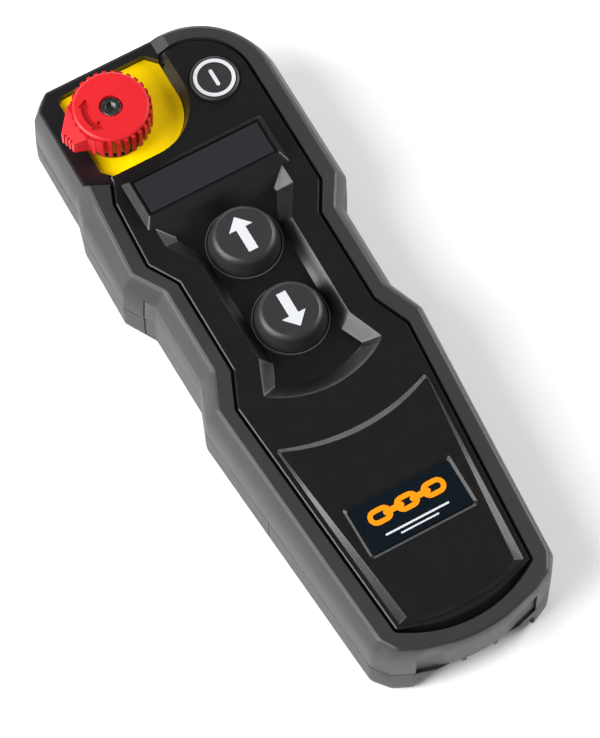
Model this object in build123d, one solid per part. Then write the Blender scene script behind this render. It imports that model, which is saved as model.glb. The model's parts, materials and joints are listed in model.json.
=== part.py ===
from build123d import *
import os
from functools import cache
from math import cos, hypot, radians, sin, tan

# Hand-held wireless remote for a chain hoist, lying on its flat back.
# +Z points out of the face, +Y to the emergency-stop end, X runs across.
# The origin is the middle of the box that holds the object, on the back face.
# All sizes are in millimetres.

os.makedirs("parts", exist_ok=True)

# ---- levels above the flat back
FACE_Z = 32.0          # flat front of the frame and the face plate
BEND_Z = 25.0          # edge between the sloped shoulder and the side wall
SEAM_Z = 13.5          # joint between the front and rear housings
LEDGE_Z = 29.0         # ledge that the face plate lies on
DECK_Z = 26.5          # ceiling of the front housing's hollow
GUARD_Z = 30.0         # rim of the emergency-stop bay
BAY_Z = 27.6           # top of the yellow legend plate
POCKET_Z = 28.1        # floor of the thumb-button pocket
BOARD_Z = 14.5         # underside of the circuit board
BOARD_TOP = 16.1

# ---- walls and gaps
WALL = 2.2
REAR_WALL = 2.8
FLOOR = 2.0
SEAM_GAP = 0.35        # dark line between the front and rear shells
COVER_GAP = 0.15       # half of the line between the battery cover and the rear housing
GROOVE = 1.0           # width of the dark line around the face plate

# ---- places of the controls on the face
KNOB = (-15.1, 82.8)
POWER = (17.0, 80.8)
UP = (0.0, 32.5)
DOWN = (0.0, 5.6)

# ---- travels
KEY_TRAVEL = 2.5
POWER_TRAVEL = 1.0
STOP_TRAVEL = 2.8
LATCH_TRAVEL = 3.0

# ---- plan of the body: crest x, crest y, seam x, seam y, corner radius.
# The crest is the outer edge of the flat top and the seam is the widest line.
BOTTOM = [(0, -104.2, 0, -103.9, 42)]
LOWER_SIDE = [
    (18.6, -98.8, 19.6, -98.3, 3),
    (24.0, -96.0, 24.9, -95.8, 3),
    (26.9, -91.0, 29.0, -90.8, 4),
    (32.4, -10.3, 35.0, -7.6, 2.5),
    (27.6, 0.8, 31.0, 2.6, 2.5),
    (27.6, 28.4, 31.3, 28.7, 2),
    (33.4, 37.8, 36.6, 38.0, 2),
]
TOP_RIGHT = [(33.4, 101.2, 36.6, 102.4, 23)]
TOP_LEFT = [
    (-26.5, 101.2, -28.9, 102.4, 2),
    (-30.9, 97.0, -33.6, 97.4, 2),
    (-31.0, 69.0, -33.8, 71.2, 2),
    (-31.8, 61.0, -36.2, 62.8, 2),
]
BODY = (
    BOTTOM + LOWER_SIDE + TOP_RIGHT + TOP_LEFT
    + [(-cx, cy, -sx, sy, r) for cx, cy, sx, sy, r in reversed(LOWER_SIDE)]
)
BEND_SHARE = 0.85      # share of the crest-to-seam overhang reached at the bend
CREST_ROUND = 0.9

# ---- plan of the dark groove around the face plate: x, y, corner radius
GROOVE_SIDE = [
    (21.4, -90.8, 1),
    (27.4, -12.6, 1.5),
    (22.7, -1.6, 1.5),
    (22.8, 29.2, 1.5),
    (28.0, 38.1, 1.5),
]
GROOVE_LINE = (
    [(0, -104.0, 37)] + GROOVE_SIDE + [(28.0, 96.2, 15.8)]
    + [(-24.3, 96.2, 1), (-24.3, 66.3, 1), (-26.9, 59.7, 2)]
    + [(-x, y, r) for x, y, r in reversed(GROOVE_SIDE)]
)

# ---- plan of the yellow legend plate
LEGEND = [
    (-22.7, 69.0, 0.5),
    (6.4, 69.0, 14.5),
    (6.4, 94.9, 0.5),
    (3.3, 98.3, 0.5),
    (-23.5, 98.3, 0.5),
    (-25.0, 96.8, 0.5),
    (-25.0, 71.3, 0.5),
]


# ---------------------------------------------------------------- helpers
def rounded(corners, z=0.0):
    """A face at height z inside (x, y, radius) corners joined by tangent arcs."""
    points = [Vector(x, y, z) for x, y, _ in corners]
    count = len(corners)
    bends = []
    for i, (_, _, radius) in enumerate(corners):
        back = (points[i - 1] - points[i]).normalized()
        ahead = (points[(i + 1) % count] - points[i]).normalized()
        half = radians(back.get_angle(ahead)) / 2
        reach = radius / tan(half)
        middle = points[i] + (back + ahead).normalized() * (radius / sin(half) - radius)
        bends.append((points[i] + back * reach, middle, points[i] + ahead * reach))
    edges = []
    for i, bend in enumerate(bends):
        edges.append(ThreePointArc(*bend))
        edges.append(Line(bend[2], bends[(i + 1) % count][0]))
    return make_face(edges)


def inset(corners, distance):
    """The same outline moved inwards by a distance, or outwards if it is negative."""
    count = len(corners)
    moved = []
    for i, (x, y, radius) in enumerate(corners):
        px, py, _ = corners[i - 1]
        nx, ny, _ = corners[(i + 1) % count]
        first = hypot(x - px, y - py)
        second = hypot(nx - x, ny - y)
        ax, ay = -(y - py) / first, (x - px) / first
        bx, by = -(ny - y) / second, (nx - x) / second
        scale = distance / (1 + ax * bx + ay * by)
        turns_left = (x - px) * (ny - y) - (y - py) * (nx - x) > 0
        new_radius = radius - distance if turns_left else radius + distance
        moved.append((x + (ax + bx) * scale, y + (ay + by) * scale, max(new_radius, 0.2)))
    return moved


def prism(corners, low, high):
    """An upright solid between two heights."""
    return extrude(rounded(corners, low), high - low)


def tapered(low_corners, low, high_corners, high):
    """A ruled solid between two outlines that have the same corners."""
    return loft([rounded(low_corners, low), rounded(high_corners, high)], ruled=True)


def mirrored(side):
    """Right-hand corners, bottom to top, followed by their mirror images, top to bottom."""
    return side + [(-x, y, r) for x, y, r in reversed(side)]


def body_outline(share, distance=0.0):
    """The body's plan, from its crest at share 0 to its seam at share 1."""
    corners = []
    for cx, cy, sx, sy, radius in BODY:
        corners.append((cx + (sx - cx) * share, cy + (sy - cy) * share, radius))
    return inset(corners, distance)


def share_at(z):
    """How far out the wall of the front housing is at a height."""
    if z >= BEND_Z:
        return BEND_SHARE * (FACE_Z - z) / (FACE_Z - BEND_Z)
    return BEND_SHARE + (1 - BEND_SHARE) * (BEND_Z - z) / (BEND_Z - SEAM_Z)


def block(x0, x1, y0, y1, z0, z1):
    """A box between two corners."""
    centre = ((x0 + x1) / 2, (y0 + y1) / 2, (z0 + z1) / 2)
    return Pos(*centre) * Box(abs(x1 - x0), abs(y1 - y0), abs(z1 - z0))


def disc(place, radius, z0, z1):
    """An upright cylinder at an (x, y) place."""
    return Pos(place[0], place[1], (z0 + z1) / 2) * Cylinder(radius, z1 - z0)


def tube(place, outer, inner, z0, z1):
    """An upright ring at an (x, y) place."""
    return disc(place, outer, z0, z1) - disc(place, inner, z0 - 1, z1 + 1)


def polygon(points):
    """A flat face with straight sides."""
    return make_face([Line(a, b) for a, b in zip(points, points[1:] + points[:1])])


def turned(place, profile):
    """A solid turned about the upright axis at a place, from (radius, z) corners."""
    return Pos(place[0], place[1], 0) * revolve(Plane.XZ * polygon(profile), Axis.Z)


def slab(plane, points, half_width):
    """A solid with straight-sided ends, reaching as far on both sides of a plane."""
    return extrude(plane * polygon(points), half_width, both=True)


def coil(place, radius, wire, z0, z1, turns):
    """A round-wire compression spring standing between two heights."""
    height = z1 - z0 - 2 * wire
    helix = Helix(pitch=height / turns, height=height, radius=radius)
    section = Plane(origin=helix @ 0, z_dir=helix % 0) * Circle(wire)
    return Pos(place[0], place[1], z0 + wire) * sweep(section, path=helix, is_frenet=True)


def save(name, shape):
    """Write one piece, or one group of like pieces, under its own name."""
    solids = shape.solids()
    piece = solids[0] if len(solids) == 1 else Compound(solids)
    piece.label = name
    export_step(piece, f"parts/{name}.step")


# ---------------------------------------------------------------- fixings
SCREW_PLACES = [(x * side, y) for x, y in ((30.2, 56), (24.6, 10), (26.0, -35)) for side in (1, -1)]
BOSS_R = 3.3
INSERT_R = 2.1
INSERT_TOP = 24.0
SCREW_R = 1.45
HEAD_R = 2.75
HEAD_TOP = 5.0
BOARD_POSTS = [(16.5, -30), (-16.5, -30), (16.5, 50), (-16.5, 50)]


def at_each(places, make):
    """The union of one shape made at each place."""
    shape = make(places[0])
    for place in places[1:]:
        shape += make(place)
    return shape


# ---------------------------------------------------------------- bay of the emergency stop
BAY_STEP_X = 7.1       # foot of the slope that ends the frame's flat top
BAY_STEP_TOP_X = 11.5


def bay_corners(step_x, drop, distance=0.0):
    """The corner of the body that the frame leaves to the bay, seen from above."""
    corners = [
        (-45, 75.5 + drop, 0.2),
        (-24.0, 65.2 + drop, 0.2),
        (step_x, 65.2 + drop, 0.2),
        (step_x, 110, 0.2),
        (-45, 110, 0.2),
    ]
    return inset(corners, distance)


def bay_space():
    """Everything above the rim level inside the bay's corner."""
    return tapered(bay_corners(BAY_STEP_X, 0.8), GUARD_Z, bay_corners(BAY_STEP_TOP_X + 0.3, -0.2), FACE_Z + 0.5)


def guard_outline(distance):
    """The body's plan at the rim level, moved inwards."""
    return body_outline(share_at(GUARD_Z), distance)


def guard_corner(distance, low, high):
    """The rim's corner of that plan, between two heights."""
    return prism(guard_outline(distance), low, high) & prism(bay_corners(BAY_STEP_X, 0.8, 0.1), low, high)


# ---------------------------------------------------------------- end wall and side grips
END_PANEL_X = 19.0     # half width of the recessed panel in the bottom end
END_PANEL_DEPTH = 0.8
END_PANEL_TOP = 24.5
FINGER_TOP_Y = -100.4  # sloped wall of the finger recess under the panel, at the seam
FINGER_FOOT_Y = -95.4  # and at the back face
FINGER_WALL = 2.0
LAND_X = 15.2          # the recess is shallower from here outwards
LAND_FOOT = 7.5
RIB_PLACES = (-5.0, 5.0)
RIB_FOOT = 11.4
GRIP_DEPTH = 1.5
GRIP_LOW = -2.4
GRIP_HIGH = 31.8
GRIP_TOP = BEND_Z - 0.2
GRIP_FOOT = 3.6
GRIP_GAP = 0.3


def grip_zone(side, margin, low, high):
    """The stretch of one side wall that the waist grip covers."""
    return block(side * 20, side * 45, GRIP_LOW - margin, GRIP_HIGH + margin, low, high)


# ---------------------------------------------------------------- housings
@cache
def front_outer():
    """The closed outer form of the front housing."""
    lower = tapered(body_outline(1), SEAM_Z, body_outline(BEND_SHARE), BEND_Z)
    crest_low = FACE_Z - CREST_ROUND
    upper = tapered(body_outline(BEND_SHARE), BEND_Z, body_outline(share_at(crest_low)), crest_low)
    soft = tapered(body_outline(share_at(crest_low)), crest_low,
                   body_outline(0, 0.25), FACE_Z - 0.35)
    lip = tapered(body_outline(0, 0.25), FACE_Z - 0.35, body_outline(0, 0.9), FACE_Z)
    return lower + upper + soft + lip


@cache
def front_skin():
    """The outer layer of the front housing's side walls, as thick as a grip."""
    core = tapered(body_outline(1, GRIP_DEPTH), SEAM_Z, body_outline(BEND_SHARE, GRIP_DEPTH), BEND_Z)
    return front_outer() & block(-50, 50, -120, 120, SEAM_Z, BEND_Z) - core


@cache
def rear_skin():
    """The outer layer of the rear housing's side walls, as thick as a grip."""
    return rear_outer() - rear_outer(GRIP_DEPTH)


@cache
def rear_outer(distance=0.0):
    """The closed outer form below the seam, optionally moved inwards."""
    wall_low = 4.2
    top = body_outline(1, distance)
    foot = body_outline(1, distance + 0.1)
    ring_1 = body_outline(1, distance + 0.3)
    ring_2 = body_outline(1, distance + 0.9)
    back = body_outline(1, distance + 2.0)
    form = tapered(foot, wall_low, top, SEAM_Z)
    form += tapered(ring_1, 2.1, foot, wall_low)
    form += tapered(ring_2, 0.8, ring_1, 2.1)
    form += tapered(back, 0, ring_2, 0.8)
    return form


def end_recess():
    """The shallow panel pressed into the bottom end of the front housing."""
    low = SEAM_Z - 1
    outside = prism(body_outline(1, -3), low, END_PANEL_TOP)
    panel = outside - prism(body_outline(1, END_PANEL_DEPTH), low, END_PANEL_TOP)
    return panel & block(-END_PANEL_X, END_PANEL_X, -110, -80, low, END_PANEL_TOP)


def finger_space(inward, half_width):
    """Everything below the seam that lies outside the sloped wall of the finger recess."""
    top_y = FINGER_TOP_Y + inward
    foot_y = FINGER_FOOT_Y + inward
    points = [(-120, 0), (foot_y, 0), (top_y, SEAM_Z), (-120, SEAM_Z)]
    return slab(Plane.YZ, points, half_width)


def front_housing():
    shell = front_outer()
    shell -= tapered(body_outline(1, WALL), SEAM_Z - 0.01, body_outline(share_at(DECK_Z), WALL), DECK_Z)
    bosses = at_each(SCREW_PLACES, lambda p: disc(p, BOSS_R, SEAM_Z, DECK_Z + 0.5))
    shell += bosses
    shell -= at_each(SCREW_PLACES, lambda p: disc(p, INSERT_R, SEAM_Z - 1, INSERT_TOP))
    shell -= prism(inset(GROOVE_LINE, -GROOVE / 2), LEDGE_Z, FACE_Z + 1)
    shell -= prism(inset(GROOVE_LINE, 2.6), DECK_Z - 1, LEDGE_Z + 1)
    shell -= bay_space()
    shell -= guard_corner(0.7, BAY_Z, GUARD_Z + 1)
    shell -= prism(inset(LEGEND, -2.3), BAY_Z - 2.3, BAY_Z + 1)
    shell -= end_recess()
    for side in (1, -1):
        shell -= front_skin() & grip_zone(side, GRIP_GAP, SEAM_Z - 1, GRIP_TOP + GRIP_GAP)
    return shell


COVER_EDGE_Y = -40.0


@cache
def rear_shell():
    """The whole lower tub before the battery cover is parted from it."""
    shell = rear_outer()
    shell -= tapered(body_outline(1, REAR_WALL + 1.2), FLOOR, body_outline(1, REAR_WALL), SEAM_Z + 0.01)
    for side in (1, -1):
        shell -= rear_skin() & grip_zone(side, GRIP_GAP, GRIP_FOOT - GRIP_GAP, SEAM_Z + 1)
    return shell


def rear_housing():
    edge = COVER_EDGE_Y + COVER_GAP
    shell = rear_shell() & block(-50, 50, edge, 120, -1, SEAM_Z - SEAM_GAP)
    shell += rear_outer(WALL + 0.01) & block(-50, 50, edge, edge + WALL, 0.5, SEAM_Z - SEAM_GAP)
    shell += at_each(SCREW_PLACES, lambda p: disc(p, BOSS_R, 1, SEAM_Z))
    shell += at_each(BOARD_POSTS, lambda p: disc(p, 2.8, 1, BOARD_Z))
    shell -= at_each(SCREW_PLACES, lambda p: disc(p, SCREW_R + 0.3, -1, SEAM_Z + 1))
    shell -= at_each(SCREW_PLACES, lambda p: disc(p, HEAD_R + 0.25, -1, HEAD_TOP))
    shell -= at_each(BOARD_POSTS, lambda p: disc(p, 1.0, 6, BOARD_Z + 1))
    shell -= seal_ring()
    shell -= block(-21, 21, 14, 46, -1, 0.5)
    shell -= latch_space()
    return shell


def seal_ring():
    """The soft cord of the housing seal, in a rebate of the rear housing's rim."""
    upper = block(-50, 50, COVER_EDGE_Y + 0.8, 120, SEAM_Z - 0.9, SEAM_Z)
    lower = block(-50, 50, COVER_EDGE_Y + 1.5, 120, SEAM_Z - 0.9, SEAM_Z)
    outer = prism(body_outline(1, 1.65), SEAM_Z - 0.9, SEAM_Z) & upper
    return outer - (prism(body_outline(1, 2.15), SEAM_Z - 0.9, SEAM_Z) & lower)


# ---------------------------------------------------------------- battery bay
CELL_R = 7.1
CELL_X = 7.6
CELL_Z = 9.6
CEILING_Z = 17.1       # underside of the tray's closed top
CELL_Y0 = -92.7
CELL_Y1 = CELL_Y0 + 50.5
CAP_LENGTH = 1.2
LATCH_Y = -32.0
RAIL_X = 17.4


def latch_space():
    """The recess and slot that the cover latch slides in."""
    recess = block(-7.5, 7.5, LATCH_Y - 5, LATCH_Y + 3.5 + LATCH_TRAVEL, -1, 1.2)
    return recess + block(-3.2, 3.2, COVER_EDGE_Y - 1, LATCH_Y + 5.5, 0.9, 3.4)


def cover_latch():
    """The thumb slide that holds the battery cover, with a grooved pad and a tongue."""
    latch = block(-7.2, 7.2, LATCH_Y - 4.7, LATCH_Y + 3.2, 0.15, 1.1)
    latch += block(-2.9, 2.9, COVER_EDGE_Y - 2.2, LATCH_Y + 2.2, 1.1, 2.9)
    for y in (-2.5, 0.0, 2.5):
        latch -= block(-5, 5, LATCH_Y - 0.4 + y, LATCH_Y + 0.4 + y, -1, 0.5)
    return latch


def battery_cover():
    below = block(-50, 50, -120, COVER_EDGE_Y - COVER_GAP, -1, SEAM_Z - SEAM_GAP)
    shell = rear_shell() + (rear_outer() & finger_space(FINGER_WALL, END_PANEL_X + FINGER_WALL))
    shell -= finger_space(0, END_PANEL_X)
    raised = [block(x - 0.6, x + 0.6, -110, -98, RIB_FOOT, SEAM_Z) for x in RIB_PLACES]
    raised += [block(side * LAND_X, side * END_PANEL_X, -110, -96.5, LAND_FOOT, SEAM_Z) for side in (1, -1)]
    for space in raised:
        shell += rear_outer(END_PANEL_DEPTH) & space
    shell = shell & below
    for side in (1, -1):
        rail = block(side * RAIL_X, side * (RAIL_X + 1.8), -88, COVER_EDGE_Y - 3, FLOOR - 0.5, 10.4)
        shell += rail + block(side * (RAIL_X - 0.9), side * RAIL_X, -88, COVER_EDGE_Y - 3, 9.4, 10.4)
    shell -= block(-3.3, 3.3, COVER_EDGE_Y - 2.6, COVER_EDGE_Y + 1, 0.8, 3.3)
    return shell


def battery_cradle():
    """The tray that holds the cells, closed above and open to the back."""
    top = prism(body_outline(1, WALL + 2.0), CEILING_Z, CEILING_Z + 1.5)
    tray = top & block(-50, 50, -120, COVER_EDGE_Y + 0.6, 0, 30)
    walls = block(-16.9, 16.9, CELL_Y0 - 1.8, COVER_EDGE_Y - 0.2, 3.4, CEILING_Z + 0.5)
    tray += walls - block(-15.3, 15.3, CELL_Y0 - 0.8, CELL_Y1 + 0.8, 0, CEILING_Z)
    for side in (1, -1):
        tray -= block(side * 16.1, side * 18, -101, -40, 9.1, 10.8)
    tray -= at_each(SCREW_PLACES, lambda p: disc(p, BOSS_R + 0.3, 0, 30))
    return tray


def cell(side):
    """One cylindrical cell with its contact cap, lying along Y."""
    length = CELL_Y1 - CELL_Y0
    body = Pos(0, 0, -side * CAP_LENGTH / 2) * Cylinder(CELL_R, length - CAP_LENGTH)
    cap = Pos(0, 0, side * (length - CAP_LENGTH) / 2) * Cylinder(2.7, CAP_LENGTH)
    return Pos(side * CELL_X, CELL_Y0 + length / 2, CELL_Z) * Rot(90, 0, 0) * (body + cap)


def battery_contacts():
    """Flat spring strips at both ends of the tray."""
    strips = block(-14.5, 14.5, CELL_Y0 - 0.7, CELL_Y0 - 0.1, 5, 14.5)
    for side in (1, -1):
        strips += block(side * 2, side * 13, CELL_Y1 + 0.1, CELL_Y1 + 0.7, 5, 14.5)
    return strips


# ---------------------------------------------------------------- face plate
POCKET_SIDE = [
    (19.0, -13.2, 1.2),
    (14.6, -2.2, 2),
    (14.9, 31.7, 2),
    (20.6, 40.8, 1),
    (20.5, 47.3, 0.5),
]
POCKET_TOP = [(0, -25.3, 32)] + mirrored(POCKET_SIDE)
FLOOR_SIDE = [
    (14.0, -10.6, 0.6),
    (10.9, -3.9, 1),
    (11.7, 34.0, 1),
    (16.0, 42.6, 0.3),
    (15.9, 43.8, 0.3),
]
POCKET_FLOOR = [(0, -16.6, 28)] + mirrored(FLOOR_SIDE)
DISPLAY_X = 0.3
DISPLAY_TOP = 34.7
DISPLAY_BASE = [(-22.8, 47.3, 0.8), (22.8, 47.3, 0.8), (22.8, 64.4, 0.8), (-22.8, 64.4, 0.8)]
DISPLAY_RIM = [(-20.9, 50.0, 0.5), (20.9, 50.0, 0.5), (20.9, 62.6, 0.5), (-20.9, 62.6, 0.5)]
PLATE_END = (0, -97.9, 58)   # the plate's top edge at the bottom end, flatter than the groove
PANEL_FOOT = [
    (0, -97.0, 56),
    (19.8, -89.8, 0.8),
    (24.0, -28.3, 0.8),
    (0, -37.0, 62),
    (-24.0, -28.3, 0.8),
    (-19.8, -89.8, 0.8),
]
PANEL_TOP = [
    (0, -96.3, 38),
    (16.9, -88.9, 0.6),
    (23.4, -30.0, 0.6),
    (0, -39.7, 55),
    (-23.4, -30.0, 0.6),
    (-16.9, -88.9, 0.6),
]
PANEL_HEIGHT = 0.9
LABEL_Y = -61.6
LABEL_SIZE = (31.4, 14.6)
KEY_HOLE_R = 10.75
KEY_RING_R = 11.15
BAY_WALL_TOP = [(8.7, 67.6, 17), (8.7, 120, 0.5), (-60, 120, 0.5), (-60, 67.6, 0.5)]
BAY_WALL_FOOT = [(6.5, 69.0, 14.5), (6.5, 120, 0.5), (-60, 120, 0.5), (-60, 69.0, 0.5)]


def shifted(corners, dx):
    """An outline moved along X."""
    return [(x + dx, y, r) for x, y, r in corners]


def window_outline(distance):
    return shifted(inset(DISPLAY_RIM, distance), DISPLAY_X)


def rectangle(width, height, y, radius):
    """Corners of a rectangle centred on the middle line."""
    x = width / 2
    return [(-x, y - height / 2, radius), (x, y - height / 2, radius),
            (x, y + height / 2, radius), (-x, y + height / 2, radius)]


def face_plate():
    border = inset(GROOVE_LINE, GROOVE / 2)
    rim = [PLATE_END] + border[1:]
    plate = tapered(border, LEDGE_Z + 0.5, rim, FACE_Z - 0.35)
    plate += tapered(rim, FACE_Z - 0.35, inset(rim, 0.35), FACE_Z)
    plate += prism(inset(POCKET_TOP, -1.2), POCKET_Z - 2.0, LEDGE_Z + 0.6)
    plate += tapered(shifted(DISPLAY_BASE, DISPLAY_X), FACE_Z - 0.1, window_outline(0), DISPLAY_TOP)
    panel_top = FACE_Z + PANEL_HEIGHT
    plate += tapered(PANEL_FOOT, FACE_Z - 0.1, PANEL_TOP, panel_top)
    bay_wall = prism(inset(border, 2.7), BAY_Z, LEDGE_Z + 0.6)
    plate += bay_wall & prism(inset(BAY_WALL_TOP, -1.5), BAY_Z, LEDGE_Z + 0.6)
    plate -= tapered(BAY_WALL_FOOT, BAY_Z - 0.1, BAY_WALL_TOP, FACE_Z + 0.02)
    plate -= tapered(POCKET_FLOOR, POCKET_Z, POCKET_TOP, FACE_Z + 0.01)
    for place in (UP, DOWN):
        plate -= disc(place, KEY_RING_R, POCKET_Z, FACE_Z)
        plate -= disc(place, KEY_HOLE_R, 20, FACE_Z)
    plate -= disc(POWER, 7.55, 20, FACE_Z + 1)
    plate -= disc(POWER, 8.4, 20, 29.2)
    plate -= prism(window_outline(0.5), DISPLAY_TOP - 0.8, DISPLAY_TOP + 1)
    plate -= prism(window_outline(1.8), 20, DISPLAY_TOP)
    plate -= tapered(rectangle(31.8, 15.0, LABEL_Y, 0.8), panel_top - 0.6,
                     rectangle(33.8, 17.0, LABEL_Y, 1.2), panel_top + 0.01)
    return plate


def face_seal():
    """The flat gasket between the face plate and its ledge."""
    band = prism(inset(GROOVE_LINE, 0.9), LEDGE_Z, LEDGE_Z + 0.5)
    band -= prism(inset(GROOVE_LINE, 2.4), LEDGE_Z - 1, LEDGE_Z + 1)
    return band & block(-50, 50, -120, 64.0, 0, 50)


def estop_guard():
    """The black rim around the bay and the tray that carries the legend plate."""
    rim = guard_corner(0.8, BAY_Z, GUARD_Z)
    rim -= prism(inset(LEGEND, -0.15), BAY_Z - 1, GUARD_Z + 1)
    plate = prism(inset(GROOVE_LINE, 0.4), BAY_Z - 1, GUARD_Z + 1)
    rim -= plate - prism(BAY_WALL_FOOT, BAY_Z - 1, GUARD_Z + 1)
    tray = prism(inset(LEGEND, -2.2), BAY_Z - 2.2, BAY_Z)
    tray -= prism(inset(LEGEND, -0.1), BAY_Z - 0.6, BAY_Z + 1)
    guard = rim + tray
    guard -= disc(KNOB, 8.1, 20, 40)
    return guard


# ---------------------------------------------------------------- emergency stop
KNOB_FOOT = GUARD_Z + STOP_TRAVEL + 0.2
KNOB_TOP = 42.4
KNOB_R = 10.9          # top disc
KNOB_CORE_R = 10.3     # skirt between the teeth
TEETH = 30
TOOTH_ROOT_R = 10.1
TOOTH_TIP_R = 11.7
LOBE_TIP_X = -15.9
LOBE_DROP = 1.0        # the lobe's top below the knob's top, at the knob
LOBE_TIP_DROP = 3.5    # and at the tip
STEM_R = 4.0
SCREW_HEAD_R = 3.1
COLLAR_TOP = 28.7


def knob_lobe():
    """The ridged pointer on the knob's side, higher at the knob than at its tip."""
    outline = [
        (-2.0, 9.4, 0.3), (-10.9, 6.2, 1.5), (LOBE_TIP_X, 0.4, 0.6), (-14.5, -4.4, 0.6),
        (-10.4, -5.9, 2), (-7.6, -8.6, 0.3), (-2.0, -9.4, 0.3),
    ]
    lobe = prism(outline, KNOB_FOOT + 1.6, KNOB_TOP - LOBE_DROP)
    above = KNOB_TOP + 2
    lobe -= slab(Plane.XZ, [
        (-KNOB_R, above), (-20, above), (LOBE_TIP_X - 1, KNOB_TOP - LOBE_TIP_DROP), (-KNOB_R, KNOB_TOP - LOBE_DROP),
    ], 15)
    for y in (-3.4, -2.1, -0.8):
        lobe -= Pos(LOBE_TIP_X + 0.25 * (1 - y), y, KNOB_TOP - 5) * Box(1.4, 0.6, 20)
    return lobe


def turn_arrow(low, high):
    """A curved arrow with a head at each end, around the knob's middle."""
    middle = 7.6
    start, stop = 156, 206
    band = []
    for radius, angles in ((middle + 0.95, (start, stop)), (middle - 0.95, (stop, start))):
        first, last = (radians(a) for a in angles)
        half = (first + last) / 2
        points = [(radius * cos(a), radius * sin(a)) for a in (first, half, last)]
        band.append(ThreePointArc(*points))
    ends = [Line(band[0] @ 1, band[1] @ 0), Line(band[1] @ 1, band[0] @ 0)]
    shape = extrude(Pos(0, 0, low) * make_face(band + ends), high - low)
    for angle, turn in ((start, -1), (stop, 1)):
        tip = radians(angle + turn * 21)
        base = radians(angle)
        head = [(middle * cos(tip), middle * sin(tip))]
        head += [(r * cos(base), r * sin(base)) for r in (middle - 1.9, middle + 1.9)]
        shape += extrude(Pos(0, 0, low) * polygon(head), high - low)
    return shape


def estop_knob():
    knob = disc((0, 0), KNOB_CORE_R, KNOB_FOOT, KNOB_TOP - 0.5)
    knob += disc((0, 0), KNOB_R, KNOB_TOP - 1.3, KNOB_TOP - 0.5)
    knob += Pos(0, 0, KNOB_TOP - 0.25) * Cone(KNOB_R, KNOB_R - 0.5, 0.5)
    tooth_height = KNOB_TOP - KNOB_FOOT - 0.9
    tooth = Box(TOOTH_TIP_R - TOOTH_ROOT_R, 1.15, tooth_height)
    tooth = Pos((TOOTH_TIP_R + TOOTH_ROOT_R) / 2, 0, KNOB_FOOT + tooth_height / 2) * tooth
    knob += [Rot(0, 0, i * 360 / TEETH) * tooth for i in range(TEETH)]
    knob += knob_lobe()
    knob -= Pos(0, 0, KNOB_FOOT + 1.8) * Cylinder(9.3, 4.0)
    knob -= Pos(0, 0, KNOB_TOP - 4) * Cylinder(1.9, 20)
    knob -= Pos(0, 0, KNOB_TOP) * Cylinder(SCREW_HEAD_R + 0.3, 4.4)
    knob -= turn_arrow(KNOB_TOP - 0.9, KNOB_TOP + 1)
    return Pos(KNOB[0], KNOB[1], 0) * knob


def estop_stem():
    """The turned shaft from the knob to the slider in the contact block."""
    stem = disc(KNOB, STEM_R, 12.0, KNOB_FOOT + 3.8)
    return stem - disc(KNOB, 1.6, 26, 40)


def knob_screw():
    """A low socket-head screw with a hexagon recess."""
    head_low = KNOB_TOP - 2.0
    screw = disc(KNOB, SCREW_HEAD_R, head_low, KNOB_TOP - 0.75)
    screw += Pos(KNOB[0], KNOB[1], KNOB_TOP - 0.6) * Cone(SCREW_HEAD_R, SCREW_HEAD_R - 0.3, 0.3)
    screw += disc(KNOB, 1.5, 27, head_low)
    hexagon = Pos(KNOB[0], KNOB[1], head_low + 0.3) * RegularPolygon(1.6, 6)
    return screw - extrude(hexagon, 3)


def estop_slider():
    """The plunger inside the contact block that the stem pushes down."""
    slider = disc(KNOB, 5.0, 9.0, 11.9)
    return slider + block(KNOB[0] - 7, KNOB[0] + 7, KNOB[1] - 2, KNOB[1] + 2, 9.0, 10.6)


def contact_block():
    """The switch body below the bay, hollow where the slider moves."""
    x, y = KNOB
    body = block(x - 9.5, x + 9.5, y - 9.5, y + 9.5, 2.6, 20.0)
    body -= disc(KNOB, 5.4, 4.6, 30)
    body -= block(x - 7.4, x + 7.4, y - 2.4, y + 2.4, 4.6, 11.4)
    return body


def estop_collar():
    """The threaded bush that clamps the switch to the tray, with a flange above it."""
    collar = tube(KNOB, 8.0, STEM_R + 0.06, 20.05, COLLAR_TOP)
    return collar + tube(KNOB, 9.2, STEM_R + 0.06, BAY_Z + 0.05, COLLAR_TOP)


# ---------------------------------------------------------------- keys
KEY_SWITCH_TOP = 20.6
POWER_SWITCH_TOP = 19.8
KEY_FOOT = 24.4
KEY_TOP = 34.8
PRINT = 0.12           # thickness of the printed marks
KEY_PROFILE = [
    (0, KEY_TOP), (7.9, KEY_TOP), (8.6, KEY_TOP - 0.35), (9.1, KEY_TOP - 1.0),
    (10.3, POCKET_Z + 1.3), (10.45, POCKET_Z + 0.7), (10.45, 26.0),
    (11.6, 26.0), (11.6, KEY_FOOT), (9.2, KEY_FOOT), (9.2, 28.2), (7.6, 31.6), (0, 31.6),
]


def key_cap(place):
    """A thumb key with a rounded shoulder and a flange that keeps it under the floor."""
    return turned(place, KEY_PROFILE)


def key_plunger(place):
    """The pin under a thumb key that works its switch."""
    return disc(place, 5.0, 30.0, 31.6) + disc(place, 2.0, KEY_SWITCH_TOP + KEY_TRAVEL + 0.2, 30.0)


def key_switch(place):
    """A two-step push switch on the board."""
    x, y = place
    return block(x - 6, x + 6, y - 6, y + 6, BOARD_TOP, 19.4) + disc(place, 2.4, 19.4, KEY_SWITCH_TOP)


def arrow_print(place, way):
    """The printed arrow on a thumb key, pointing along Y."""
    x, y = place
    outline = [
        (1.45, -5.8), (1.45, 1.8), (3.75, 1.8), (0, 5.8),
        (-3.75, 1.8), (-1.45, 1.8), (-1.45, -5.8),
    ]
    points = [(x + px, y + way * py, KEY_TOP) for px, py in outline]
    return extrude(polygon(points), PRINT, dir=(0, 0, 1))


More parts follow.
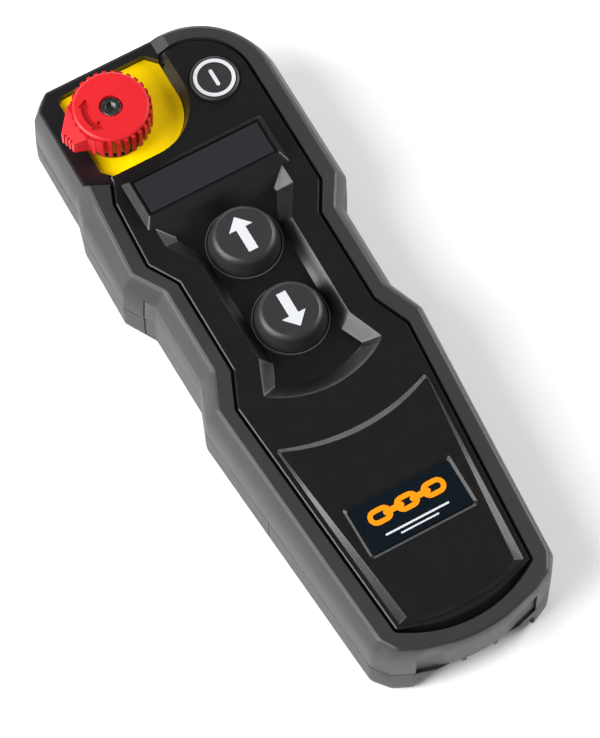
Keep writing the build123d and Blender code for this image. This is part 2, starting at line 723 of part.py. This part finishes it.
POWER_TOP = 32.8
POWER_PIN_FOOT = POWER_SWITCH_TOP + POWER_TRAVEL + 0.1
BAR_R = 0.55
BAR_REACH = 2.3
POWER_PROFILE = [
    (0, POWER_TOP), (6.6, POWER_TOP), (7.0, POWER_TOP - 0.15), (7.25, POWER_TOP - 0.6),
    (7.25, 28.9), (8.1, 28.9), (8.1, 27.4), (2.0, 27.4), (2.0, POWER_PIN_FOOT), (0, POWER_PIN_FOOT),
]


def power_print():
    """The ring and bar printed on the power key."""
    ring = tube(POWER, 6.1, 5.0, POWER_TOP, POWER_TOP + PRINT)
    x, y = POWER
    bar = block(x - BAR_R, x + BAR_R, y - BAR_REACH, y + BAR_REACH, POWER_TOP, POWER_TOP + PRINT)
    for way in (1, -1):
        bar += disc((x, y + way * BAR_REACH), BAR_R, POWER_TOP, POWER_TOP + PRINT)
    return ring + bar


# ---------------------------------------------------------------- electronics
def main_board():
    board = block(-20.3, 20.3, -37, 66, BOARD_Z, BOARD_TOP)
    board += block(-2.5, 27.5, 60, 93, BOARD_Z, BOARD_TOP)
    return board - at_each(BOARD_POSTS, lambda p: disc(p, 1.3, 0, 30))


def board_screws():
    heads = at_each(BOARD_POSTS, lambda p: disc(p, 2.2, BOARD_TOP, BOARD_TOP + 1.2))
    return heads + at_each(BOARD_POSTS, lambda p: disc(p, 1.0, 8, BOARD_TOP))


def display_ribbon():
    """The flat cable from the display down to the board."""
    cable = block(-6, 6, 56.0, 56.2, 28.7, 30.2)
    cable += block(-6, 6, 56.0, 64.2, 28.7, 28.9)
    return cable + block(-6, 6, 64.0, 64.2, BOARD_TOP + 2, 28.9)


def housing_screws():
    heads = at_each(SCREW_PLACES, lambda p: disc(p, HEAD_R, HEAD_TOP - 2.6, HEAD_TOP) - disc(p, 1.2, 0, 4))
    return heads + at_each(SCREW_PLACES, lambda p: disc(p, SCREW_R, HEAD_TOP, 21))


def inserts():
    return at_each(SCREW_PLACES, lambda p: tube(p, INSERT_R, SCREW_R, 15.5, 23.5))


# ---------------------------------------------------------------- write every piece
save("front_housing", front_housing())
save("rear_housing", rear_housing())
save("face_plate", face_plate())
save("face_seal", face_seal())
save("housing_seal", seal_ring() & rear_outer())
save("battery_cover", battery_cover())
save("cover_latch", cover_latch())
save("battery_cradle", battery_cradle())
save("battery_cells", cell(1) + cell(-1))
save("battery_contacts", battery_contacts())

for side, word in ((1, "right"), (-1, "left")):
    save(f"{word}_front_grip", front_skin() & grip_zone(side, 0, SEAM_Z + 0.05, GRIP_TOP))
    save(f"{word}_rear_grip", rear_skin() & grip_zone(side, 0, GRIP_FOOT, SEAM_Z - SEAM_GAP))

save("estop_guard", estop_guard())
save("estop_legend_plate", prism(LEGEND, BAY_Z - 0.6, BAY_Z) - disc(KNOB, 8.1, 20, 40))
save("estop_collar", estop_collar())
save("estop_ring_nut", tube(KNOB, 10.4, 8.0, 21.6, BAY_Z - 2.25))
save("estop_contact_block", contact_block())
save("estop_slider", estop_slider())
save("estop_stem", estop_stem())
save("estop_knob", estop_knob())
save("estop_knob_screw", knob_screw())
save("estop_spring", coil(KNOB, 6.2, 0.5, COLLAR_TOP, KNOB_FOOT + 3.8, 4))

for word, place, way in (("up", UP, 1), ("down", DOWN, -1)):
    save(f"{word}_button", key_cap(place))
    save(f"{word}_arrow", arrow_print(place, way))
    save(f"{word}_plunger", key_plunger(place))
    save(f"{word}_spring", coil(place, 3.9, 0.4, 19.4, 30.0, 5))
    save(f"{word}_switch", key_switch(place))
    save(f"{word}_button_ring", tube(place, KEY_RING_R, KEY_HOLE_R, POCKET_Z, POCKET_Z + 0.5))

save("power_button", turned(POWER, POWER_PROFILE))
save("power_symbol", power_print())
save("power_switch", block(POWER[0] - 3.5, POWER[0] + 3.5, POWER[1] - 3.5, POWER[1] + 3.5,
                           BOARD_TOP, POWER_SWITCH_TOP))

save("display_window", prism(window_outline(1.0), DISPLAY_TOP - 0.8, DISPLAY_TOP - 0.15))
save("display_seal", prism(window_outline(1.9), DISPLAY_TOP - 1.2, DISPLAY_TOP - 0.8)
     - prism(window_outline(3.0), 30, 40))
save("display_module", prism(window_outline(2.1), 30.2, DISPLAY_TOP - 1.2))
save("display_ribbon", display_ribbon())
save("main_circuit_board", main_board())
save("board_screws", board_screws())
save("controller_chip", block(-6, 6, -14, -2, BOARD_TOP, BOARD_TOP + 1.4))
save("radio_module", block(-4, 14, -34, -18, BOARD_TOP, BOARD_TOP + 3.0))
save("antenna", block(-1, 25, 88.2, 92, BOARD_TOP, BOARD_TOP + 1.2))
save("buzzer", tube((4, 72), 6, 1.2, BOARD_TOP, BOARD_TOP + 5.5))
save("battery_plug", block(-14, -6, -36, -30, BOARD_TOP, BOARD_TOP + 5))
save("ribbon_plug", block(-7.5, 7.5, 62.5, 66, BOARD_TOP, BOARD_TOP + 2))

label = rectangle(LABEL_SIZE[0], LABEL_SIZE[1], LABEL_Y, 0.7)
save("name_label", prism(label, FACE_Z + PANEL_HEIGHT - 0.6, FACE_Z + PANEL_HEIGHT - 0.3))
save("rating_label", prism(rectangle(40, 30, 30, 1.5), 0.2, 0.5))
save("housing_screws", housing_screws())
save("threaded_inserts", inserts())
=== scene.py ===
import json
from math import cos, radians, sin

import bmesh
import bpy
from mathutils import Matrix, Vector


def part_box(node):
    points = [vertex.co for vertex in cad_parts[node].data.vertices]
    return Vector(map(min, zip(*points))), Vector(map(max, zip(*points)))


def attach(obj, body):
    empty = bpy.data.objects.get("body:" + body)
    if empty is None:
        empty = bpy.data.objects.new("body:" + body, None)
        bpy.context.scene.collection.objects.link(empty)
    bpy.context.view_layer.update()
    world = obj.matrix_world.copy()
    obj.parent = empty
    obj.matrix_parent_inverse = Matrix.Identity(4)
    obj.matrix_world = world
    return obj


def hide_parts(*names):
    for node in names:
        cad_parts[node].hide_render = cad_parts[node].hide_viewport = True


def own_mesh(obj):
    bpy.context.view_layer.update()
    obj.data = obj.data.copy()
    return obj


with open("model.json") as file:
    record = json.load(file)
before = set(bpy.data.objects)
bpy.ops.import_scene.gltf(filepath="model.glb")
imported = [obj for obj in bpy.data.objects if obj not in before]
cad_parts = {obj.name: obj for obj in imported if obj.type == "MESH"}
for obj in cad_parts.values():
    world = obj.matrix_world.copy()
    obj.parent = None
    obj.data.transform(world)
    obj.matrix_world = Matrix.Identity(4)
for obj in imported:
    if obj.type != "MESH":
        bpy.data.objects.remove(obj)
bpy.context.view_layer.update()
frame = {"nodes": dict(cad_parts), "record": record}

# Looks of a hand-held wireless hoist remote. Lengths are in metres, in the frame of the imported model,
# except where a name or comment says millimetres.

MM = 0.001
NODES = frame["nodes"]

# The nodes whose edges are rounded a little, and by how much.
SOFT_NODES = (
    "front_housing", "face_plate", "rear_housing", "battery_cover", "cover_latch", "estop_guard",
    "estop_knob", "estop_knob_screw", "estop_collar", "power_button", "up_button", "down_button",
    "left_front_grip", "left_rear_grip", "right_front_grip", "right_rear_grip",
)
EDGE_WIDTH = 0.3 * MM
EDGE_ANGLE = radians(28)          # flatter edges belong to a smooth curve
WELD_GAP = 0.01 * MM

# The print on the name label, in millimetres. Places are from the label's middle.
NAME_LABEL_BODY = "housing"
LINK_PITCH = 8.4
LINK_RISE = 1.9
OPEN_LINK = (7.4, 5.0)            # length and width of a link seen from the front
OPEN_LINK_HOLE = (4.4, 2.0)
SIDE_LINK = (6.4, 1.8)            # a link seen edge on, between two open ones
RULES = ((-3.9, 20.0, 0.6), (-5.4, 12.0, 0.5))        # height on the label, length, width
PRINT_THICKNESS = 0.04
SIDE_LINK_THICKNESS = 0.07

# The camera looks down on the face from its lower left, with a very long lens.
CAMERA_AZIMUTH = radians(-28.69)
CAMERA_ELEVATION = radians(66.10)
CAMERA_ROLL = radians(-0.6)
CAMERA_TARGET = Vector((-6.03, -10.5, 32.0)) * MM
CAMERA_DISTANCE = 1.2
CAMERA_LENS = 210.7

LIGHT_AIM = Vector((0, 0, 0.03))
SOFTBOXES = (
    # name, place, size, watts
    ("left_softbox", (-1.2, 0.22, 0.55), (1.2, 0.75), 31),
    ("back_softbox", (0.25, 1.3, 0.5), (1.0, 0.5), 7),
    ("right_softbox", (1.25, 0.0, 0.7), (0.9, 0.7), 20),
    ("high_softbox", (-0.95, -0.15, 1.25), (0.6, 0.6), 14),
)
HORIZON_STRENGTH = 0.6            # up to a direction that rises by HORIZON_TOP
ZENITH_STRENGTH = 0.06            # from a direction that rises by ZENITH_FOOT
HORIZON_TOP = 0.3
ZENITH_FOOT = 0.8
BACKDROP_STRENGTH = 1.0           # what the camera sees past the floor
FLOOR_HALF = 1.6


# ---------------------------------------------------------------- material helpers
def new_material(name):
    """An empty node material with its tree and its Principled shader."""
    material = bpy.data.materials.new(name)
    material.use_nodes = True
    tree = material.node_tree
    return material, tree, tree.nodes["Principled BSDF"]


def noise(tree, scale, detail, rough=0.5):
    """Noise in the object's own coordinates, with a scale per metre."""
    place = tree.nodes.new("ShaderNodeTexCoord")
    texture = tree.nodes.new("ShaderNodeTexNoise")
    texture.inputs["Scale"].default_value = scale
    texture.inputs["Detail"].default_value = detail
    texture.inputs["Roughness"].default_value = rough
    tree.links.new(place.outputs["Object"], texture.inputs["Vector"])
    return texture.outputs["Fac"]


def spread(tree, value, low, high):
    """Noise, most of which lies between 0.3 and 0.7, stretched to low..high."""
    node = tree.nodes.new("ShaderNodeMapRange")
    node.inputs["From Min"].default_value = 0.3
    node.inputs["From Max"].default_value = 0.7
    node.inputs["To Min"].default_value = low
    node.inputs["To Max"].default_value = high
    tree.links.new(value, node.inputs["Value"])
    return node.outputs["Result"]


def blend_colours(tree, value, dark, light):
    """A colour between two colours, by noise."""
    node = tree.nodes.new("ShaderNodeMix")
    node.data_type = "RGBA"
    node.inputs["A"].default_value = (*dark, 1)
    node.inputs["B"].default_value = (*light, 1)
    tree.links.new(spread(tree, value, 0, 1), node.inputs["Factor"])
    return node.outputs["Result"]


def relief(tree, shader, height, depth):
    """Bumps of a depth in millimetres."""
    bump = tree.nodes.new("ShaderNodeBump")
    bump.inputs["Strength"].default_value = 1.0
    bump.inputs["Distance"].default_value = depth * MM
    tree.links.new(height, bump.inputs["Height"])
    tree.links.new(bump.outputs["Normal"], shader.inputs["Normal"])


def moulded(name, colour, rough, grain_scale, grain_depth, specular, vary):
    """Moulded plastic, rubber or print: an even colour with faint clouds, uneven gloss and a fine grain."""
    material, tree, shader = new_material(name)
    dark = tuple(c * (1 - vary) for c in colour)
    light = tuple(min(1, c * (1 + vary)) for c in colour)
    clouds = noise(tree, scale=60, detail=3)
    tree.links.new(blend_colours(tree, clouds, dark, light), shader.inputs["Base Color"])
    handling = noise(tree, scale=260, detail=5, rough=0.6)
    tree.links.new(spread(tree, handling, rough - 0.02, rough + 0.02), shader.inputs["Roughness"])
    relief(tree, shader, noise(tree, grain_scale, detail=3, rough=0.6), grain_depth)
    shader.inputs["Specular IOR Level"].default_value = specular
    return material


def metal(name, colour, rough):
    """Bare or plated metal with a fine mottle."""
    material, tree, shader = new_material(name)
    mottle = noise(tree, scale=900, detail=6, rough=0.7)
    dark = tuple(c * 0.85 for c in colour)
    tree.links.new(blend_colours(tree, mottle, dark, colour), shader.inputs["Base Color"])
    tree.links.new(spread(tree, mottle, rough - 0.08, rough + 0.08), shader.inputs["Roughness"])
    relief(tree, shader, mottle, 0.01)
    shader.inputs["Metallic"].default_value = 1.0
    return material


# ---------------------------------------------------------------- materials by record slot
MOULDED_SLOTS = {
    # slot: colour, roughness, grain per metre, grain depth in millimetres, specular level, colour variation
    "housing_plastic": ((0.021, 0.021, 0.023), 0.43, 2600, 0.035, 0.38, 0.06),
    "face_plastic": ((0.004, 0.004, 0.0044), 0.34, 3200, 0.02, 0.42, 0.06),
    "black_plastic": ((0.005, 0.005, 0.006), 0.32, 1500, 0.008, 0.5, 0.06),
    "grip_rubber": ((0.04, 0.04, 0.043), 0.52, 2400, 0.04, 0.45, 0.06),
    "seal_rubber": ((0.006, 0.006, 0.006), 0.5, 1500, 0.01, 0.5, 0.06),
    "key_rubber": ((0.015, 0.015, 0.0165), 0.45, 3000, 0.03, 0.45, 0.06),
    "yellow_plate": ((0.95, 0.66, 0.0), 0.32, 2500, 0.01, 0.25, 0.03),
    "red_plastic": ((0.5, 0.01, 0.015), 0.4, 2200, 0.015, 0.3, 0.04),
    "grey_plastic": ((0.25, 0.26, 0.28), 0.4, 1800, 0.01, 0.5, 0.06),
    "white_plastic": ((0.8, 0.8, 0.78), 0.4, 1800, 0.01, 0.5, 0.04),
    "white_print": ((0.5, 0.51, 0.53), 0.5, 3000, 0.01, 0.5, 0.03),
    "orange_print": ((0.86, 0.22, 0.0), 0.4, 3000, 0.005, 0.3, 0.03),
    "cell_sleeve": ((0.3, 0.31, 0.33), 0.3, 1200, 0.005, 0.5, 0.06),
    "window_glass": ((0.018, 0.0185, 0.0215), 0.12, 400, 0.001, 0.5, 0.02),
    "display_grey": ((0.02, 0.021, 0.023), 0.3, 1200, 0.002, 0.5, 0.06),
    "ribbon_film": ((0.5, 0.25, 0.06), 0.35, 1500, 0.004, 0.5, 0.06),
    "board_green": ((0.02, 0.16, 0.07), 0.3, 900, 0.01, 0.5, 0.3),
    "chip_black": ((0.02, 0.02, 0.02), 0.5, 2500, 0.01, 0.5, 0.06),
    "ceramic": ((0.75, 0.74, 0.7), 0.3, 1800, 0.008, 0.5, 0.05),
    "label_print": ((0.002, 0.005, 0.008), 0.22, 600, 0.002, 0.5, 0.06),
}
METAL_SLOTS = {
    # slot: colour, roughness
    "steel": ((0.62, 0.62, 0.62), 0.3),
    "black_steel": ((0.3, 0.3, 0.31), 0.26),
    "contact_metal": ((0.75, 0.72, 0.62), 0.25),
    "shield_metal": ((0.72, 0.72, 0.7), 0.3),
    "brass": ((0.78, 0.58, 0.24), 0.28),
}
MATERIALS = {slot: moulded(slot, *look) for slot, look in MOULDED_SLOTS.items()}
MATERIALS.update({slot: metal(slot, *look) for slot, look in METAL_SLOTS.items()})


def dress_nodes():
    """Give every CAD node the material of its record slot, but the rings round the thumb keys grip rubber."""
    for part in frame["record"]["subparts"]:
        materials = NODES[part["node"]].data.materials
        materials.clear()
        materials.append(MATERIALS[part["material_slot"]])
    for name in ("up_button_ring", "down_button_ring"):
        NODES[name].data.materials[0] = MATERIALS["grip_rubber"]


def soften(name):
    """Join the split vertices of a CAD node and round its edges a little."""
    node = NODES[name]
    weld = node.modifiers.new("weld", "WELD")
    weld.merge_threshold = WELD_GAP
    bevel = node.modifiers.new("bevel", "BEVEL")
    bevel.width = EDGE_WIDTH
    bevel.segments = 2
    bevel.limit_method = "ANGLE"
    bevel.angle_limit = EDGE_ANGLE
    bevel.use_clamp_overlap = True
    bevel.harden_normals = True


# ---------------------------------------------------------------- springs
def shorten_spring(name, body):
    """A copy of a spring's node that stands in for it and moves whole with its joint's body."""
    piece = bpy.data.objects.new(f"{name}_coil", NODES[name].data.copy())
    bpy.context.scene.collection.objects.link(piece)
    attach(piece, body)
    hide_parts(name)
    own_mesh(piece)


# ---------------------------------------------------------------- print on the name label
def lay_outline(maker, centre, points, height):
    """The vertices of an outline in millimetres, laid out around a centre at a height."""
    return [maker.verts.new((centre.x + x * MM, centre.y + y * MM, height)) for x, y in points]


def band(maker, first, second):
    """A closed strip of faces from one outline to another."""
    count = len(first)
    for i in range(count):
        k = (i + 1) % count
        maker.faces.new((first[i], first[k], second[k], second[i]))


def flat_piece(name, shapes, material, thickness):
    """A thin printed piece on the name label, its thickness in millimetres.

    Each shape is (outline, hole or None), in millimetres from the label's middle."""
    low, high = (Vector(corner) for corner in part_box("name_label"))
    centre = (low + high) / 2
    levels = (high.z, high.z + thickness * MM)
    maker = bmesh.new()
    for outline, hole in shapes:
        base, top = (lay_outline(maker, centre, outline, height) for height in levels)
        band(maker, base, top)
        if hole is None:
            maker.faces.new(top)
            maker.faces.new(tuple(reversed(base)))
        else:
            hole_base, hole_top = (lay_outline(maker, centre, hole, height) for height in levels)
            band(maker, hole_top, hole_base)
            band(maker, top, hole_top)
            band(maker, hole_base, base)
    mesh = bpy.data.meshes.new(name)
    maker.to_mesh(mesh)
    maker.free()
    mesh.materials.append(MATERIALS[material])
    piece = bpy.data.objects.new(name, mesh)
    bpy.context.scene.collection.objects.link(piece)
    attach(piece, NAME_LABEL_BODY)


def stadium(x, y, length, width, steps=10):
    """The outline of a bar with round ends, lying along X."""
    radius = width / 2
    reach = length / 2 - radius
    points = []
    for side, start in ((1, -90), (-1, 90)):
        for i in range(steps + 1):
            angle = radians(start + 180 * i / steps)
            points.append((x + side * reach + radius * cos(angle), y + radius * sin(angle)))
    return points


def label_artwork():
    """A plain symbol of five chain links above two rules."""
    open_links = []
    for x in (-LINK_PITCH, 0, LINK_PITCH):
        open_links.append((stadium(x, LINK_RISE, *OPEN_LINK), stadium(x, LINK_RISE, *OPEN_LINK_HOLE)))
    flat_piece("label_open_links", open_links, "orange_print", PRINT_THICKNESS)
    side_links = [(stadium(x, LINK_RISE, *SIDE_LINK), None) for x in (-LINK_PITCH / 2, LINK_PITCH / 2)]
    flat_piece("label_side_links", side_links, "orange_print", SIDE_LINK_THICKNESS)
    rules = [(stadium(0.0, *rule), None) for rule in RULES]
    flat_piece("label_rules", rules, "white_print", PRINT_THICKNESS)


# ---------------------------------------------------------------- camera, lights, floor
def aim_camera():
    """The camera, from its azimuth, elevation and roll about a point on the face."""
    across, along = sin(CAMERA_AZIMUTH), cos(CAMERA_AZIMUTH)
    flat, steep = cos(CAMERA_ELEVATION), sin(CAMERA_ELEVATION)
    back = Vector((across * flat, -along * flat, steep))
    level = Vector((along, across, 0))
    upright = back.cross(level)
    right = level * cos(CAMERA_ROLL) + upright * sin(CAMERA_ROLL)
    top = upright * cos(CAMERA_ROLL) - level * sin(CAMERA_ROLL)
    turn = Matrix((right, top, back)).transposed().to_4x4()
    data = bpy.data.cameras.new("camera")
    data.lens = CAMERA_LENS
    data.clip_start = 0.05
    data.clip_end = 20
    camera = bpy.data.objects.new("camera", data)
    bpy.context.scene.collection.objects.link(camera)
    camera.matrix_world = Matrix.Translation(CAMERA_TARGET + back * CAMERA_DISTANCE) @ turn
    bpy.context.scene.camera = camera


def softbox(name, place, size, power):
    """A rectangular area light at a place, turned to the remote."""
    data = bpy.data.lights.new(name, "AREA")
    data.shape = "RECTANGLE"
    data.size, data.size_y = size
    data.energy = power
    lamp = bpy.data.objects.new(name, data)
    lamp.location = place
    lamp.rotation_mode = "QUATERNION"
    lamp.rotation_quaternion = (Vector(place) - LIGHT_AIM).to_track_quat("Z", "Y")
    bpy.context.scene.collection.objects.link(lamp)


def surround():
    """A white surround, bright near the horizon and dim overhead, where the flat face mirrors it."""
    world = bpy.data.worlds.new("studio")
    bpy.context.scene.world = world
    world.use_nodes = True
    tree = world.node_tree
    background = tree.nodes["Background"]
    background.inputs["Color"].default_value = (1, 1, 1, 1)
    place = tree.nodes.new("ShaderNodeTexCoord")
    axes = tree.nodes.new("ShaderNodeSeparateXYZ")
    fade = tree.nodes.new("ShaderNodeMapRange")
    fade.inputs["From Min"].default_value = HORIZON_TOP
    fade.inputs["From Max"].default_value = ZENITH_FOOT
    fade.inputs["To Min"].default_value = HORIZON_STRENGTH
    fade.inputs["To Max"].default_value = ZENITH_STRENGTH
    path = tree.nodes.new("ShaderNodeLightPath")
    strength = tree.nodes.new("ShaderNodeMix")
    strength.inputs["B"].default_value = BACKDROP_STRENGTH
    tree.links.new(place.outputs["Generated"], axes.inputs["Vector"])
    tree.links.new(axes.outputs["Z"], fade.inputs["Value"])
    tree.links.new(path.outputs["Is Camera Ray"], strength.inputs["Factor"])
    tree.links.new(fade.outputs["Result"], strength.inputs["A"])
    tree.links.new(strength.outputs["Result"], background.inputs["Strength"])


def lay_floor():
    """A plain pale table top under the remote."""
    half = FLOOR_HALF
    mesh = bpy.data.meshes.new("floor")
    corners = [(-half, -half, 0), (half, -half, 0), (half, half, 0), (-half, half, 0)]
    mesh.from_pydata(corners, [], [(0, 1, 2, 3)])
    mesh.materials.append(moulded("floor_paint", (0.9, 0.9, 0.9), 0.6, 300, 0.01, specular=0.2, vary=0.01))
    floor = bpy.data.objects.new("floor", mesh)
    bpy.context.scene.collection.objects.link(floor)


dress_nodes()
label_artwork()
for key in ("up", "down"):
    shorten_spring(f"{key}_spring", f"{key}_button")
shorten_spring("estop_spring", "estop_slider")
for name in SOFT_NODES:
    soften(name)
aim_camera()
for light in SOFTBOXES:
    softbox(*light)
surround()
lay_floor()
bpy.context.scene.view_settings.view_transform = "Standard"
